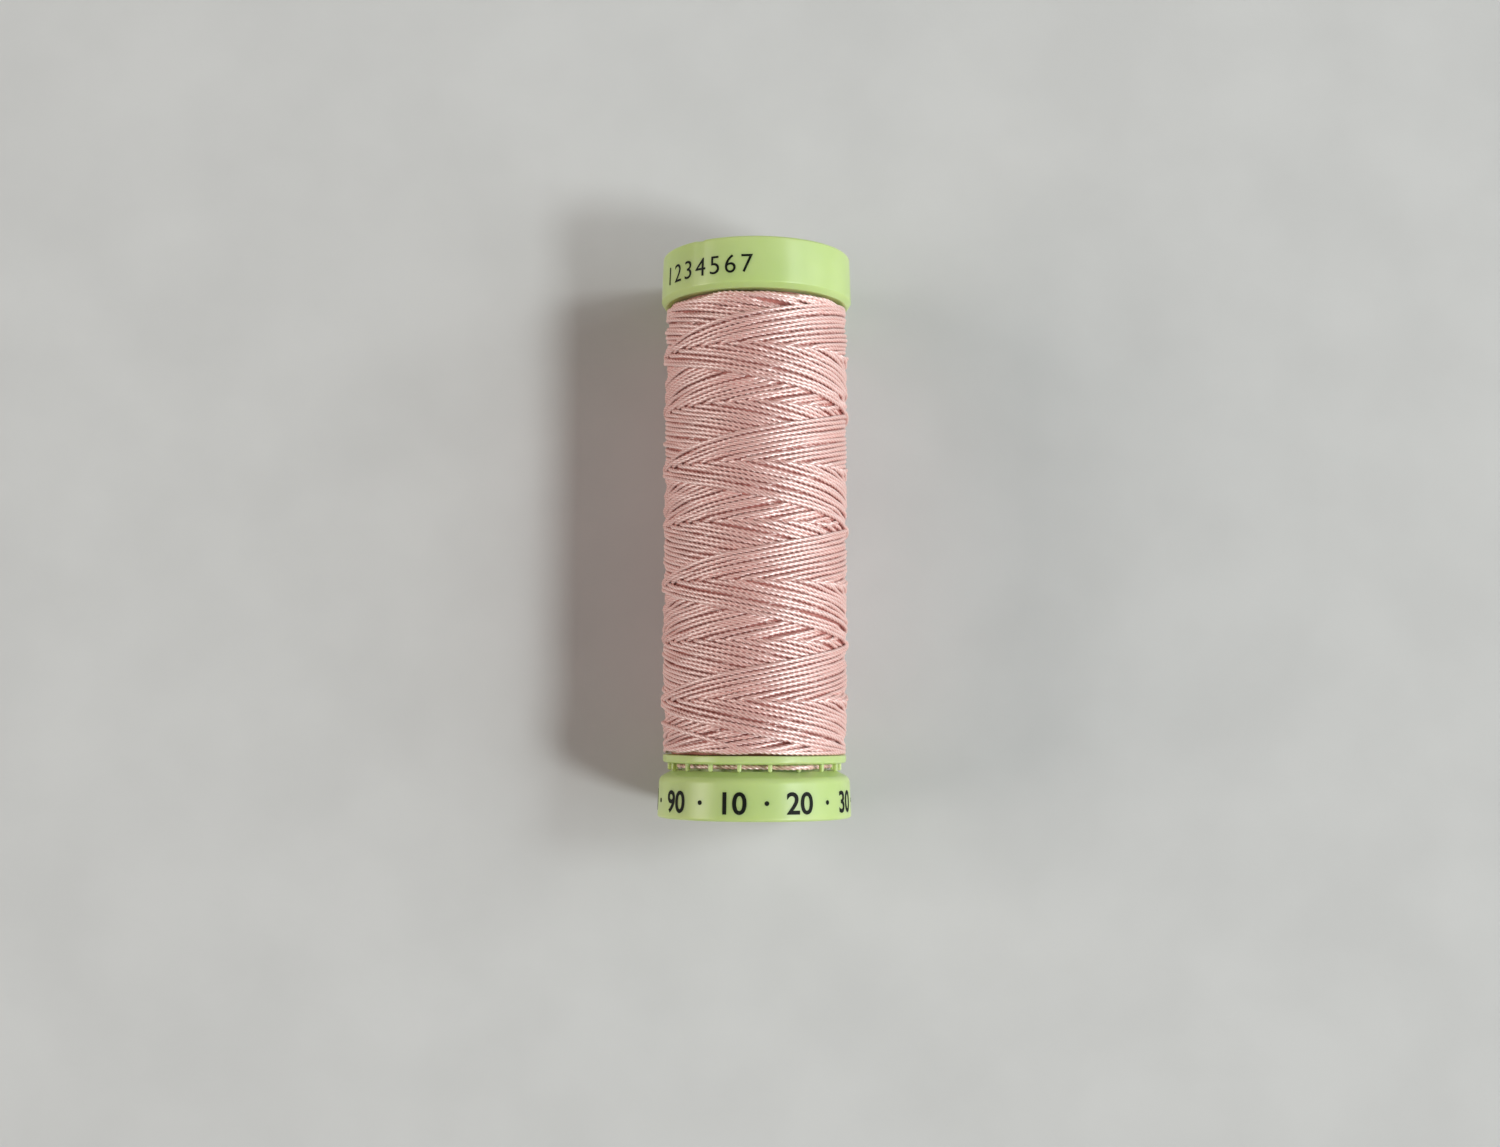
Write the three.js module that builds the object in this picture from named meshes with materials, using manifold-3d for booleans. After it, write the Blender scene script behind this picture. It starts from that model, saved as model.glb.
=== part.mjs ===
// Spool of sewing thread, lying on its side: a moulded bobbin with a pressed-on top cap and a base cap that
// snaps out to free the thread end. Millimetres, +Z up, the spool's axis along Y and its top cap towards +Y.
// The origin is on the table, under the middle of the spool.

import * as THREE from 'three';
import * as BufferGeometryUtils from 'three/addons/utils/BufferGeometryUtils.js';
import Module from 'manifold-3d';

// ---- Driving dimensions. Heights run along the axis, from the base end (0) to the top end. ----

const length = 57;             // base end to top end
const capRadius = 9.75;        // widest radius of both caps
const capDraft = 0.15;         // each cap is this much slimmer at its other end
const facets = 54;             // sides of every turned piece: one sits flat on the table, three to each tooth
const pinBoreRadius = 3.5;     // bore for the spool pin of a sewing machine
const edge = 0.3;              // small edge radius of the mouldings, drawn as a bevel
const labelRecess = 0.4;       // depth of the recess that holds each paper disc
const labelThickness = 0.2;
const labelGap = 0.15;         // between a paper disc and the wall of its recess
const endRingWidth = 0.75;     // flat ring round each recess

// the bobbin
const tubeRadius = 6.5;
const tubeBore = 5.5;
const flangeRadius = 9.22;
const flangeTop = 6.25;
const flangeRim = 0.4;         // thickness of the flange at its rim
const flangeUnder = 5.45;      // underside of the flange at the hub
const flangeTaperRadius = 8.75; // outside this radius the underside slopes up to the rim
const hubRadius = 7.3;         // floor of the lock groove, and outside of the sleeve below it
const sleeveBore = 6.1;
const sleeveEnd = 1.3;
const beadRadius = 7.95;       // snap bead round the end of the sleeve
const beadHeight = 0.6;
const upperFlangeRadius = 8.3;
const upperFlangeThickness = 0.9;

// the lock teeth under the flange
const toothCount = 18;
const toothInner = 8.3;
const toothOuter = 8.75;
const toothTip = 4.68;
const toothRootWidth = 0.6;
const toothTipWidth = 0.35;

// the base cap
const snapShoulder = 4.6;      // its upper face, the floor of the lock groove
const snapShoulderInner = 8.2; // the upper face is flat out to here, then falls away
const snapShoulderOuter = 9.25;
const snapShoulderDrop = 0.45;
const snapCorner = 0.6;        // rounded corner between the shoulder and the side
const snapMouth = 7.6;         // the lip that the bead catches on
const snapLipUnder = 3.75;
const snapInside = 8.2;
const snapWeb = 1.1;           // upper face of the end web

// the top cap
const topRim = 51.85;          // lower rim of the cap
const topRimBevel = 0.55;      // height of the bevel along the lower rim
const topRimSet = 0.4;         // how far the bevel steps in
const topInside = 8.45;
const topWebUnder = 55.3;
const plugInner = 4.3;         // ring that plugs into the bobbin's tube
const plugOuter = 5.4;
const plugEnd = 53.3;

// the thread
const packageRadius = 8.1;     // inner layers of the winding
const windingRadius = 9.5;     // over the outer layer
const loops = 24;
const stepsPerLoop = 24;
const windingSides = 6;
const windingThread = 1.25;    // thickness of a turn of this coarse outer layer
const endBend = 0.9;           // bend between each straight end and the first turn
const endBendSteps = 4;
const endDip = 2.6;            // the end turns dip towards the flange by this much, opposite the thread's end
const dipLoops = 6;            // the dip fades out over this many turns
const windingEndAngle = -25;   // where the lower end of the winding stands, degrees round the axis from +X

const tailThickness = 0.45;    // true thickness of the sewing thread
const tailSides = 8;
const tailSteps = 72;

// ---- Helpers ----

const wasm = await Module();
wasm.setup();

const half = (2 * Math.PI / facets) / 2;

// A turned piece: a closed profile of [radius, height] pairs, counter-clockwise, revolved round Y.
function turned(profile) {
  const points = [...profile, profile[0]].map(([radius, height]) => new THREE.Vector2(radius, height));
  return new THREE.LatheGeometry(points, facets, half);
}

// A point on the spool at an angle round its axis (0 at +X, a quarter turn is straight up), a radius and a height.
function onSpool(angle, radius, height) {
  return new THREE.Vector3(radius * Math.cos(angle), height, radius * Math.sin(angle));
}

function solid(geometry) {
  const bare = geometry.clone();
  bare.deleteAttribute('normal');
  bare.deleteAttribute('uv');
  const merged = BufferGeometryUtils.mergeVertices(bare, 1e-4);
  const mesh = new wasm.Mesh({
    numProp: 3,
    vertProperties: new Float32Array(merged.attributes.position.array),
    triVerts: new Uint32Array(merged.index.array),
  });
  return new wasm.Manifold(mesh);
}

function geometryOf(manifold) {
  const mesh = manifold.getMesh();
  const geometry = new THREE.BufferGeometry();
  geometry.setAttribute('position', new THREE.BufferAttribute(mesh.vertProperties, 3));
  geometry.setIndex(new THREE.BufferAttribute(mesh.triVerts, 1));
  geometry.computeVertexNormals();
  return geometry;
}

// A closed tube through a list of points. Its section is a regular polygon set out on each point's own two
// directions: away from the spool's axis, and square to that and to the path.
function tube(points, radius, sides) {
  const positions = [];
  const last = points.length - 1;
  const previousOut = new THREE.Vector3();
  points.forEach((point, i) => {
    const along = points[Math.min(i + 1, last)].clone().sub(points[Math.max(i - 1, 0)]).normalize();
    const out = new THREE.Vector3(point.x, 0, point.z);
    out.addScaledVector(along, -out.dot(along)).normalize();
    if (i > 0 && out.dot(previousOut) < 0) out.negate();
    previousOut.copy(out);
    const side = along.clone().cross(out);
    for (let k = 0; k < sides; k++) {
      const turn = 2 * Math.PI * k / sides;
      const corner = point.clone();
      corner.addScaledVector(out, radius * Math.cos(turn));
      corner.addScaledVector(side, radius * Math.sin(turn));
      positions.push(corner.x, corner.y, corner.z);
    }
  });
  const index = [];
  for (let i = 0; i < last; i++) {
    for (let k = 0; k < sides; k++) {
      const a = i * sides + k;
      const b = i * sides + (k + 1) % sides;
      index.push(a, b, a + sides, b, b + sides, a + sides);
    }
  }
  for (let k = 1; k < sides - 1; k++) {
    index.push(0, k + 1, k);
    index.push(last * sides, last * sides + k, last * sides + k + 1);
  }
  const geometry = new THREE.BufferGeometry();
  geometry.setAttribute('position', new THREE.Float32BufferAttribute(positions, 3));
  geometry.setIndex(index);
  geometry.computeVertexNormals();
  return geometry;
}

// ---- Materials ----

const greenPlastic = () => new THREE.MeshStandardMaterial({ color: 0xc3e497, roughness: 0.35, metalness: 0 });
const pinkThread = () => new THREE.MeshStandardMaterial({ color: 0xeab9b0, roughness: 0.5, metalness: 0 });
const paper = () => new THREE.MeshStandardMaterial({ color: 0xf1f0e8, roughness: 0.8, metalness: 0 });

// ---- The pieces ----

function spoolCore() {
  const upperFlangeUnder = topRim;
  const body = solid(turned([
    [sleeveBore, sleeveEnd],
    [beadRadius - edge, sleeveEnd],
    [beadRadius, sleeveEnd + edge],
    [beadRadius, sleeveEnd + beadHeight],
    [hubRadius, sleeveEnd + beadHeight],
    [hubRadius, flangeUnder],
    [flangeTaperRadius, flangeUnder],
    [flangeRadius, flangeTop - flangeRim],
    [flangeRadius, flangeTop - edge / 3],
    [flangeRadius - edge / 3, flangeTop],
    [tubeRadius, flangeTop],
    [tubeRadius, upperFlangeUnder],
    [upperFlangeRadius, upperFlangeUnder],
    [upperFlangeRadius, upperFlangeUnder + upperFlangeThickness],
    [tubeRadius, upperFlangeUnder + upperFlangeThickness],
    [tubeRadius, topWebUnder],
    [tubeBore, topWebUnder],
    [tubeBore, flangeUnder],
    [sleeveBore, flangeUnder - (sleeveBore - tubeBore)],
  ]));
  return geometryOf(body.add(lockTeeth()));
}

// One tooth is a short bar that hangs from the flange and tapers to its tip.
function lockTeeth() {
  const root = flangeTop - flangeRim;
  const outline = new THREE.Shape([
    new THREE.Vector2(-toothTipWidth / 2, toothTip),
    new THREE.Vector2(toothTipWidth / 2, toothTip),
    new THREE.Vector2(toothRootWidth / 2, root),
    new THREE.Vector2(-toothRootWidth / 2, root),
  ]);
  const bar = new THREE.ExtrudeGeometry(outline, { depth: toothOuter - toothInner, bevelEnabled: false });
  bar.translate(0, 0, toothInner);
  const teeth = [];
  for (let i = 0; i < toothCount; i++) {
    const turn = (i + 0.5) * 2 * Math.PI / toothCount;
    teeth.push(solid(bar.clone().rotateY(turn)));
  }
  return teeth.reduce((sum, tooth) => sum.add(tooth));
}

function snapCap() {
  const sideTop = snapShoulder - snapShoulderDrop - snapCorner;
  const sideRadius = capRadius - capDraft;
  return turned([
    [pinBoreRadius, labelRecess],
    [capRadius - edge - endRingWidth, labelRecess],
    [capRadius - edge - endRingWidth, 0],
    [capRadius - edge, 0],
    [capRadius, edge],
    [sideRadius, sideTop],
    [sideRadius - (sideRadius - snapShoulderOuter) * 0.3, sideTop + snapCorner * 0.65],
    [snapShoulderOuter, sideTop + snapCorner],
    [snapShoulderInner, snapShoulder],
    [snapMouth, snapShoulder],
    [snapMouth, snapLipUnder],
    [snapInside, snapLipUnder],
    [snapInside, snapWeb],
    [pinBoreRadius, snapWeb],
  ]);
}

function topCap() {
  const sideRadius = capRadius - capDraft;
  return turned([
    [pinBoreRadius, topWebUnder],
    [plugInner, topWebUnder],
    [plugInner, plugEnd],
    [plugOuter, plugEnd],
    [plugOuter, topWebUnder],
    [topInside, topWebUnder],
    [topInside, topRim],
    [capRadius - topRimSet, topRim],
    [capRadius, topRim + topRimBevel],
    [sideRadius, length - edge],
    [sideRadius - edge, length],
    [sideRadius - edge - endRingWidth, length],
    [sideRadius - edge - endRingWidth, length - labelRecess],
    [pinBoreRadius, length - labelRecess],
  ]);
}

// A paper disc with a hole, lying on the floor of an end's recess.
function labelDisc(recessRadius, floor, top) {
  const outer = recessRadius - labelGap;
  const inner = pinBoreRadius + labelGap;
  return turned([[inner, floor], [outer, floor], [outer, top], [inner, top]]);
}

function threadPackage() {
  return turned([
    [tubeRadius, flangeTop],
    [packageRadius, flangeTop],
    [packageRadius, topRim],
    [tubeRadius, topRim],
  ]);
}

// The outer layer: one helix of turns. Each end of the thread stands straight on its flange for one thickness, bends
// over and runs round. The turns beside it dip towards the flange on the far side, so that they fill the end.
function windingPath() {
  const centre = windingRadius - windingThread / 2;
  const start = flangeTop;
  const rise = windingThread + endBend;
  const endAngle = THREE.MathUtils.degToRad(windingEndAngle);
  const span = topRim - flangeTop - 2 * rise;
  const bendAngle = endBend / centre;
  const sweep = 2 * Math.PI * loops;

  const dip = (turns) => {
    const fade = Math.max(0, 1 - turns / dipLoops);
    return endDip * fade * Math.sin(Math.PI * turns) ** 2;
  };
  const lowerEnd = [onSpool(endAngle, centre, start)];
  for (let i = 0; i < endBendSteps; i++) {
    const turn = (Math.PI / 2) * i / endBendSteps;
    const angle = endAngle + bendAngle * (1 - Math.cos(turn));
    lowerEnd.push(onSpool(angle, centre, start + windingThread + endBend * Math.sin(turn)));
  }
  const turns = [];
  const steps = loops * stepsPerLoop;
  for (let i = 0; i <= steps; i++) {
    const done = loops * i / steps;
    const height = start + rise + span * i / steps - dip(done) + dip(loops - done);
    turns.push(onSpool(endAngle + bendAngle + sweep * i / steps, centre, height));
  }
  const upperEnd = [];
  for (let i = 1; i <= endBendSteps; i++) {
    const turn = (Math.PI / 2) * i / endBendSteps;
    const angle = endAngle + bendAngle * (1 + Math.sin(turn)) + sweep;
    upperEnd.push(onSpool(angle, centre, topRim - windingThread - endBend * Math.cos(turn)));
  }
  upperEnd.push(onSpool(endAngle + 2 * bendAngle + sweep, centre, topRim));
  return [...lowerEnd, ...turns, ...upperEnd];
}

// The least gap between stretches of the winding that are over half a turn apart along it.
function leastGap(points, thickness) {
  let least = Infinity;
  for (let i = 0; i < points.length; i++) {
    for (let j = i + stepsPerLoop / 2; j < points.length; j++) {
      least = Math.min(least, points[i].distanceTo(points[j]));
    }
  }
  return least - thickness;
}

// The thread's end: it leaves the winding beside the lower straight end, slips over the rim of the flange, passes in
// between two teeth, goes round the hub behind them, comes out between two others and ends outside the teeth.
// Each stop is an angle in degrees, a radius and a height.
function tailPath() {
  const clear = tailThickness / 2 + 0.1;
  const over = flangeTop + clear;
  const groove = (snapShoulder + flangeUnder) / 2;
  const rim = flangeRadius + clear;
  const outside = toothOuter + clear;
  const behind = (hubRadius + toothInner) / 2;
  const between = (outside + behind) / 2;
  const stops = [
    [-31, packageRadius + 0.8, over],
    [-38, flangeRadius - 0.2, over],
    [-44, flangeRadius, over],
    [-49, rim - 0.1, over - 0.1],
    [-53, rim, flangeTop - flangeRim / 2],
    [-57, rim - 0.05, flangeUnder],
    [-64, outside, groove],
    [-70, between, groove],
    [-78, behind, groove],
    [-90, behind, groove],
    [-180, behind, groove],
    [-270, behind, groove],
    [-282, behind, groove],
    [-290, between, groove],
    [-298, outside, groove],
    [-341, outside, groove],
    [-384, outside, groove],
  ];
  const perDegree = THREE.MathUtils.degToRad(1) * hubRadius;
  const unrolled = stops.map(([angle, radius, height]) => new THREE.Vector3(angle * perDegree, radius, height));
  const curve = new THREE.CatmullRomCurve3(unrolled, false, 'centripetal');
  return curve.getSpacedPoints(tailSteps).map(({ x, y, z }) => onSpool(x / hubRadius, y, z));
}

// ---- The assembly ----

const spool = new THREE.Group();
spool.position.set(0, -length / 2, capRadius * Math.cos(half));

function place(name, geometry, material) {
  const mesh = new THREE.Mesh(geometry, material);
  mesh.name = name;
  spool.add(mesh);
}

const winding = windingPath();
console.log(`thread_winding: ${loops} loops, least gap to itself ${leastGap(winding, windingThread).toFixed(3)} mm`);

place('spool_core', spoolCore(), greenPlastic());
place('top_cap', topCap(), greenPlastic());
place('snap_cap', snapCap(), greenPlastic());
place('top_label', labelDisc(capRadius - capDraft - edge - endRingWidth, length - labelRecess,
  length - labelRecess + labelThickness), paper());
place('base_label', labelDisc(capRadius - edge - endRingWidth, labelRecess - labelThickness,
  labelRecess), paper());
place('thread_package', threadPackage(), pinkThread());
place('thread_winding', tube(winding, windingThread / 2, windingSides), pinkThread());
place('thread_tail', tube(tailPath(), tailThickness / 2, tailSides), pinkThread());

const part = new THREE.Group();
part.add(spool);

export default part;
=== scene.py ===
# %% [markdown]
# # A spool of sewing thread
#
# The spool lies on its side: a pale green moulded bobbin, a thick cap pressed on its top end, a base cap
# that snaps out to free the thread, and about twelve metres of visible pink thread, wound criss-cross. The
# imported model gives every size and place. This script dresses it: smooth turned plastic with small fillets,
# real twisted yarn laid pass over pass, printed numbers and paper discs, a floor, soft light and a camera.

import math

import bmesh
import bpy
import numpy as np
from mathutils import Matrix, Vector


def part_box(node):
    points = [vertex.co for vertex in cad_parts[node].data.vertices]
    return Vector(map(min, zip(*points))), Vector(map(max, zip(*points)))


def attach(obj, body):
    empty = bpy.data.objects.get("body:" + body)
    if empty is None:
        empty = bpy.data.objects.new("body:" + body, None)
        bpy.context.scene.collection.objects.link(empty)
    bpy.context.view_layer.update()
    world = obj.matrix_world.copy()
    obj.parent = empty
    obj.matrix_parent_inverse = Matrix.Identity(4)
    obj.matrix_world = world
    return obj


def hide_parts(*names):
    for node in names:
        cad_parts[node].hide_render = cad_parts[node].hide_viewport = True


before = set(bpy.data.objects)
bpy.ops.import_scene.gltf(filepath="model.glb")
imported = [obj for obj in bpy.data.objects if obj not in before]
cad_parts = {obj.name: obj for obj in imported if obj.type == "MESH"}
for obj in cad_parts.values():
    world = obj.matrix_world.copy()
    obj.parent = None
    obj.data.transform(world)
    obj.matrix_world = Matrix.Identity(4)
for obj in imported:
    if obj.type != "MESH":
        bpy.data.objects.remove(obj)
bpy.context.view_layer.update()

# %% [markdown]
# ## Where things are
#
# A turned part is easiest to think of in its own terms: a radius from the axis, an angle round it and a
# height along it. Here all three are counted as a maker would, in millimetres and radians, with height 0 at
# the base end. Angle 0 points along +X, and a quarter turn points straight up.

# %% Spool coordinates
MM = 0.001
top_low, top_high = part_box("top_cap")
snap_low, snap_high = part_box("snap_cap")
AXIS_Z = (top_low[2] + top_high[2]) / 2
BASE_Y = snap_low[1]
LENGTH = (top_high[1] - snap_low[1]) / MM
CAP_RADIUS = (top_high[2] - top_low[2]) / 2 / MM
TOP_RIM = (top_low[1] - BASE_Y) / MM
SHOULDER = (snap_high[1] - BASE_Y) / MM
TURN = 2 * math.pi
rng = np.random.default_rng(7)


def on_spool(radius, angle, height):
    """Points in metres: x = radius cos(angle), y = height, z = radius sin(angle), about the spool's axis."""
    radius, angle, height = np.broadcast_arrays(radius, angle, height)
    x = radius * np.cos(angle) * MM
    y = height * MM + BASE_Y
    z = radius * np.sin(angle) * MM + AXIS_Z
    return np.stack([x, y, z], axis=-1)


print(f"spool {LENGTH:.2f} mm long, caps {2 * CAP_RADIUS:.2f} mm across, axis {AXIS_Z / MM:.2f} mm up")

# %% [markdown]
# ## The camera
#
# The photograph looks straight down on the spool from about 18 cm, a little past its base end and tilted a
# few degrees towards its top. The lens and place were worked out from the curves of the four round rims in
# the photograph. A quarter of a degree of roll about the vertical puts the spool as straight in the frame
# as it lies there.

# %% Camera
CAMERA_ABOVE_AXIS = 177.6
CAMERA_HEIGHT_ALONG = 9.37
CAMERA_SIDE = -0.55
CAMERA_TILT = math.radians(4.89)
CAMERA_ROLL = math.radians(0.247)
FOCAL_PIXELS = 1752
PHOTO_WIDTH = 1500
SENSOR = 36


def placed(name, data):
    """A new object in the scene, made of a mesh, a curve, a lamp or a camera."""
    piece = bpy.data.objects.new(name, data)
    bpy.context.scene.collection.objects.link(piece)
    return piece


roll = Matrix.Rotation(CAMERA_ROLL, 3, "Z")
look = roll @ Vector((0, math.sin(CAMERA_TILT), -math.cos(CAMERA_TILT)))
up = roll @ Vector((0, math.cos(CAMERA_TILT), math.sin(CAMERA_TILT)))
right = look.cross(up)
along = CAMERA_HEIGHT_ALONG - LENGTH / 2
stand = roll @ Vector((CAMERA_SIDE, along, 0)) * MM

camera_data = bpy.data.cameras.new("camera")
camera_data.sensor_fit = "HORIZONTAL"
camera_data.sensor_width = SENSOR
camera_data.lens = FOCAL_PIXELS / PHOTO_WIDTH * SENSOR
camera_data.clip_start, camera_data.clip_end = 0.01, 20
camera = placed("camera", camera_data)
camera.matrix_world = Matrix((
    (right[0], up[0], -look[0], stand[0]),
    (right[1], up[1], -look[1], stand[1]),
    (right[2], up[2], -look[2], AXIS_Z + CAMERA_ABOVE_AXIS * MM),
    (0, 0, 0, 1),
))
bpy.context.scene.camera = camera
print(f"lens {camera_data.lens:.1f} mm")

# %% [markdown]
# ## Two kinds of surface
#
# Everything here is a grid of points. A turned part is a profile carried round the axis, and a yarn is a
# small section carried along a path. One function turns such a grid into a mesh of four-sided faces, and
# closes the ends of a tube.

# %% Grid to mesh
SHARP = math.radians(38)


def grid_faces(rows, columns, wrap_rows=False, capped=False):
    """Four-sided faces (m, 4) between the points of a grid, numbered row by row. Columns always wrap.

    Faces look along (next column) x (next row). A cap is a fan of faces from the first point of its row."""
    i = np.arange(rows if wrap_rows else rows - 1)[:, None]
    j = np.arange(columns)[None, :]
    below, above = i * columns, (i + 1) % rows * columns
    beside = (j + 1) % columns
    quads = np.stack([below + j, below + beside, above + beside, above + j], axis=-1).reshape(-1, 4)
    if capped:
        fan = np.arange(1, columns - 1, 2)
        first = np.stack([fan * 0, fan + 2, fan + 1, fan], axis=-1) % columns
        last = np.stack([fan * 0, fan, fan + 1, fan + 2], axis=-1) % columns + (rows - 1) * columns
        quads = np.concatenate([quads, first, last])
    return quads


def mesh_from_arrays(name, vertices, quads):
    """A mesh straight from arrays of points (n, 3) and four-sided faces (m, 4)."""
    mesh = bpy.data.meshes.new(name)
    mesh.vertices.add(len(vertices))
    mesh.vertices.foreach_set("co", np.ascontiguousarray(vertices, dtype=np.float32).ravel())
    mesh.loops.add(quads.size)
    mesh.loops.foreach_set("vertex_index", np.ascontiguousarray(quads, dtype=np.int32).ravel())
    mesh.polygons.add(len(quads))
    mesh.polygons.foreach_set("loop_start", np.arange(0, quads.size, 4, dtype=np.int32))
    mesh.update(calc_edges=True)
    mesh.validate()
    return mesh


def smooth_piece(name, mesh, sharp=SHARP):
    """A mesh with smooth shading, apart from edges that turn by more than an angle, as a new piece."""
    mesh.shade_smooth()
    if sharp is not None:
        mesh.set_sharp_from_angle(angle=sharp)
    return placed(name, mesh)


def surface(name, points, wrap_rows=False, capped=False, uv=None, sharp=SHARP):
    """Points (rows, columns, 3) become a piece. uv is each row's length along a yarn, kept in a UV map."""
    rows, columns = points.shape[:2]
    mesh = mesh_from_arrays(name, points.reshape(-1, 3), grid_faces(rows, columns, wrap_rows, capped))
    if uv is not None:
        i, j = np.mgrid[:rows - 1, :columns]
        length = np.stack([i, i, i + 1, i + 1], axis=-1).reshape(-1)
        across = np.stack([j, j + 1, j + 1, j], axis=-1).reshape(-1) / columns
        coordinates = np.zeros((len(mesh.loops), 2), dtype=np.float32)
        coordinates[:across.size, 0] = np.interp(length, np.arange(rows), uv)
        coordinates[:across.size, 1] = across
        layer = mesh.uv_layers.new(name="yarn")
        layer.uv.foreach_set("vector", coordinates.ravel())
    return smooth_piece(name, mesh, sharp)


# %% [markdown]
# Moulded plastic has no knife edges. Each corner of a profile carries its own fillet, an arc that touches
# both sides, and a pair of points just past each arc keeps the flat faces flat under smooth shading.

# %% Filleted profiles
ARC_POINTS = 7
SIDE_SHARE = 0.49
HOLD, HOLD_SHARE, LEAST_HOLD = 0.04, 0.005, 0.01


def filleted(corners):
    """Corners (radius, height, fillet) of a closed profile, counter-clockwise, become its points.

    An arc of the fillet's radius f starts f / tan(half the corner's angle) before the corner, and turns
    about a centre that lies on the corner's bisector. It takes less than half of the shorter side."""
    corners = np.asarray(corners, dtype=float)
    points = []
    for k in range(len(corners)):
        here, fillet = corners[k, :2], corners[k, 2]
        back = corners[k - 1, :2] - here
        ahead = corners[(k + 1) % len(corners), :2] - here
        room = min(np.linalg.norm(back), np.linalg.norm(ahead))
        back, ahead = back / np.linalg.norm(back), ahead / np.linalg.norm(ahead)
        half = math.acos(np.clip(back @ ahead, -1, 1)) / 2
        reach = min(fillet / math.tan(half), room * SIDE_SHARE)
        fillet = reach * math.tan(half)
        middle = here + (back + ahead) / np.linalg.norm(back + ahead) * fillet / math.sin(half)
        start, end = here + back * reach - middle, here + ahead * reach - middle
        sweep = math.atan2(start[0] * end[1] - start[1] * end[0], start @ end)
        turns = sweep * np.linspace(0, 1, ARC_POINTS)[:, None]
        arc = middle + np.cos(turns) * start + np.sin(turns) * np.array([-start[1], start[0]])
        hold = min(HOLD, room * HOLD_SHARE + LEAST_HOLD)
        points += [here + back * (reach + hold), *arc, here + ahead * (reach + hold)]
    return np.array(points)


SEGMENTS = 288


def turned(name, profile, change=None, segments=SEGMENTS):
    """A profile carried round the axis. change(radius, angle, height) may move the grid's points."""
    angle = np.linspace(0, TURN, segments, endpoint=False)[:, None]
    radius, height = profile[:, 0] + 0 * angle, profile[:, 1] + 0 * angle
    if change:
        radius, height = change(radius, angle, height)
    return surface(name, on_spool(radius, angle, height), wrap_rows=True)


# %% [markdown]
# ## The base cap
#
# The base cap is a shallow cup. Its side widens a little towards the open table end, the draft that lets it
# leave the mould, and its shoulder slopes in to the groove that locks the thread. Inside, a lip catches
# behind a bead on the bobbin's sleeve, so the cap slides 1.8 mm out and clicks back. The groove side keeps
# soft corners, as in the photo.

# %% Base cap
DRAFT = 0.15
BORE = 3.5
RECESS = 0.4
SNAP_RECESS_RADIUS = 8.7
SNAP_MOUTH = 7.6
SNAP_INSIDE = 8.2
LIP_UNDER = 3.75
LIP_UP = 0.12
SHOULDER_FLAT = 8.2
SNAP_WEB = 1.1
SOFT = 0.12
WALL_FROM, WALL_STEP = 9, 0.4


def fine_waves(angle, count, size, seed):
    """A sum of slow sine waves round the axis: the slight unevenness of a cheap moulding."""
    phases = np.random.default_rng(seed).uniform(0, TURN, count)
    return size * sum(np.sin((k + 2) * angle + phase) / (k + 1) for k, phase in enumerate(phases))


def parting_line(angle, place, height=0.012, width=0.012):
    """A fine raised seam where the halves of the mould met, at one angle and opposite it."""
    offset = np.abs((angle - place + math.pi / 2) % math.pi - math.pi / 2)
    return height * np.exp(-(offset / width) ** 2)


def outer_wall(radius):
    """1 on the outer wall of a cap and 0 inside it, with a soft step between."""
    return np.clip((radius - WALL_FROM) / WALL_STEP, 0, 1)


def snap_marks(radius, angle, height):
    """The outer wall above the foot is a hair slimmer, with slow waves and a parting line."""
    outside = outer_wall(radius) * np.clip((height - 0.3) / WALL_STEP, 0, 1)
    waves = 0.014 + fine_waves(angle, 5, 0.005, 1)
    return radius - outside * waves + outside * parting_line(angle, 0.5), height


snap_profile = filleted([
    (BORE, RECESS, 0.1),
    (SNAP_RECESS_RADIUS, RECESS, 0.08),
    (SNAP_RECESS_RADIUS, 0, 0.1),
    (CAP_RADIUS, 0, 0.28),
    (CAP_RADIUS - DRAFT * 0.2, 1.0, 0.1),
    (CAP_RADIUS - DRAFT, 4.0, 0.8),
    (SHOULDER_FLAT, SHOULDER + LIP_UP, 0.25),
    (SNAP_MOUTH, SHOULDER + LIP_UP, SOFT),
    (SNAP_MOUTH, LIP_UNDER, SOFT),
    (SNAP_INSIDE, LIP_UNDER, SOFT),
    (SNAP_INSIDE, SNAP_WEB, 0.3),
    (BORE, SNAP_WEB, 0.1),
])
snap_cap = turned("base_cap_moulding", snap_profile, snap_marks)
print("base cap", len(snap_cap.data.polygons), "faces")

# %% [markdown]
# ## The top cap
#
# The upper cap is taller, and its lower rim has a light bevel. The photograph shows a small nick in its
# upper edge on the left, where the spool was once knocked.

# %% Top cap
TOP_BEVEL = 0.55
TOP_BEVEL_SET = 0.38
TOP_INSIDE = 8.45
TOP_WEB_UNDER = 55.3
PLUG_INNER, PLUG_OUTER, PLUG_END = 4.3, 5.4, 53.3
TOP_RECESS_RADIUS = 8.55
NICK_ANGLE = math.radians(126)
NICK_WIDTH = math.radians(2.6)
NICK_DEPTH = 0.1
NICK_FROM, NICK_FADE = 56.3, 0.7


def top_marks(radius, angle, height):
    """The same waves and parting line, and the nick, which dents the upper edge in and down."""
    outside = outer_wall(radius)
    waves = 0.012 + fine_waves(angle, 5, 0.004, 2)
    radius = radius - outside * waves + outside * parting_line(angle, 2.2)
    nick = NICK_DEPTH * np.exp(-((angle - NICK_ANGLE) / NICK_WIDTH) ** 4)
    nick = nick * np.clip((height - NICK_FROM) / NICK_FADE, 0, 1) * np.clip((radius - 9.1) / 0.3, 0, 1)
    return radius - nick * 0.6, height - nick


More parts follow.
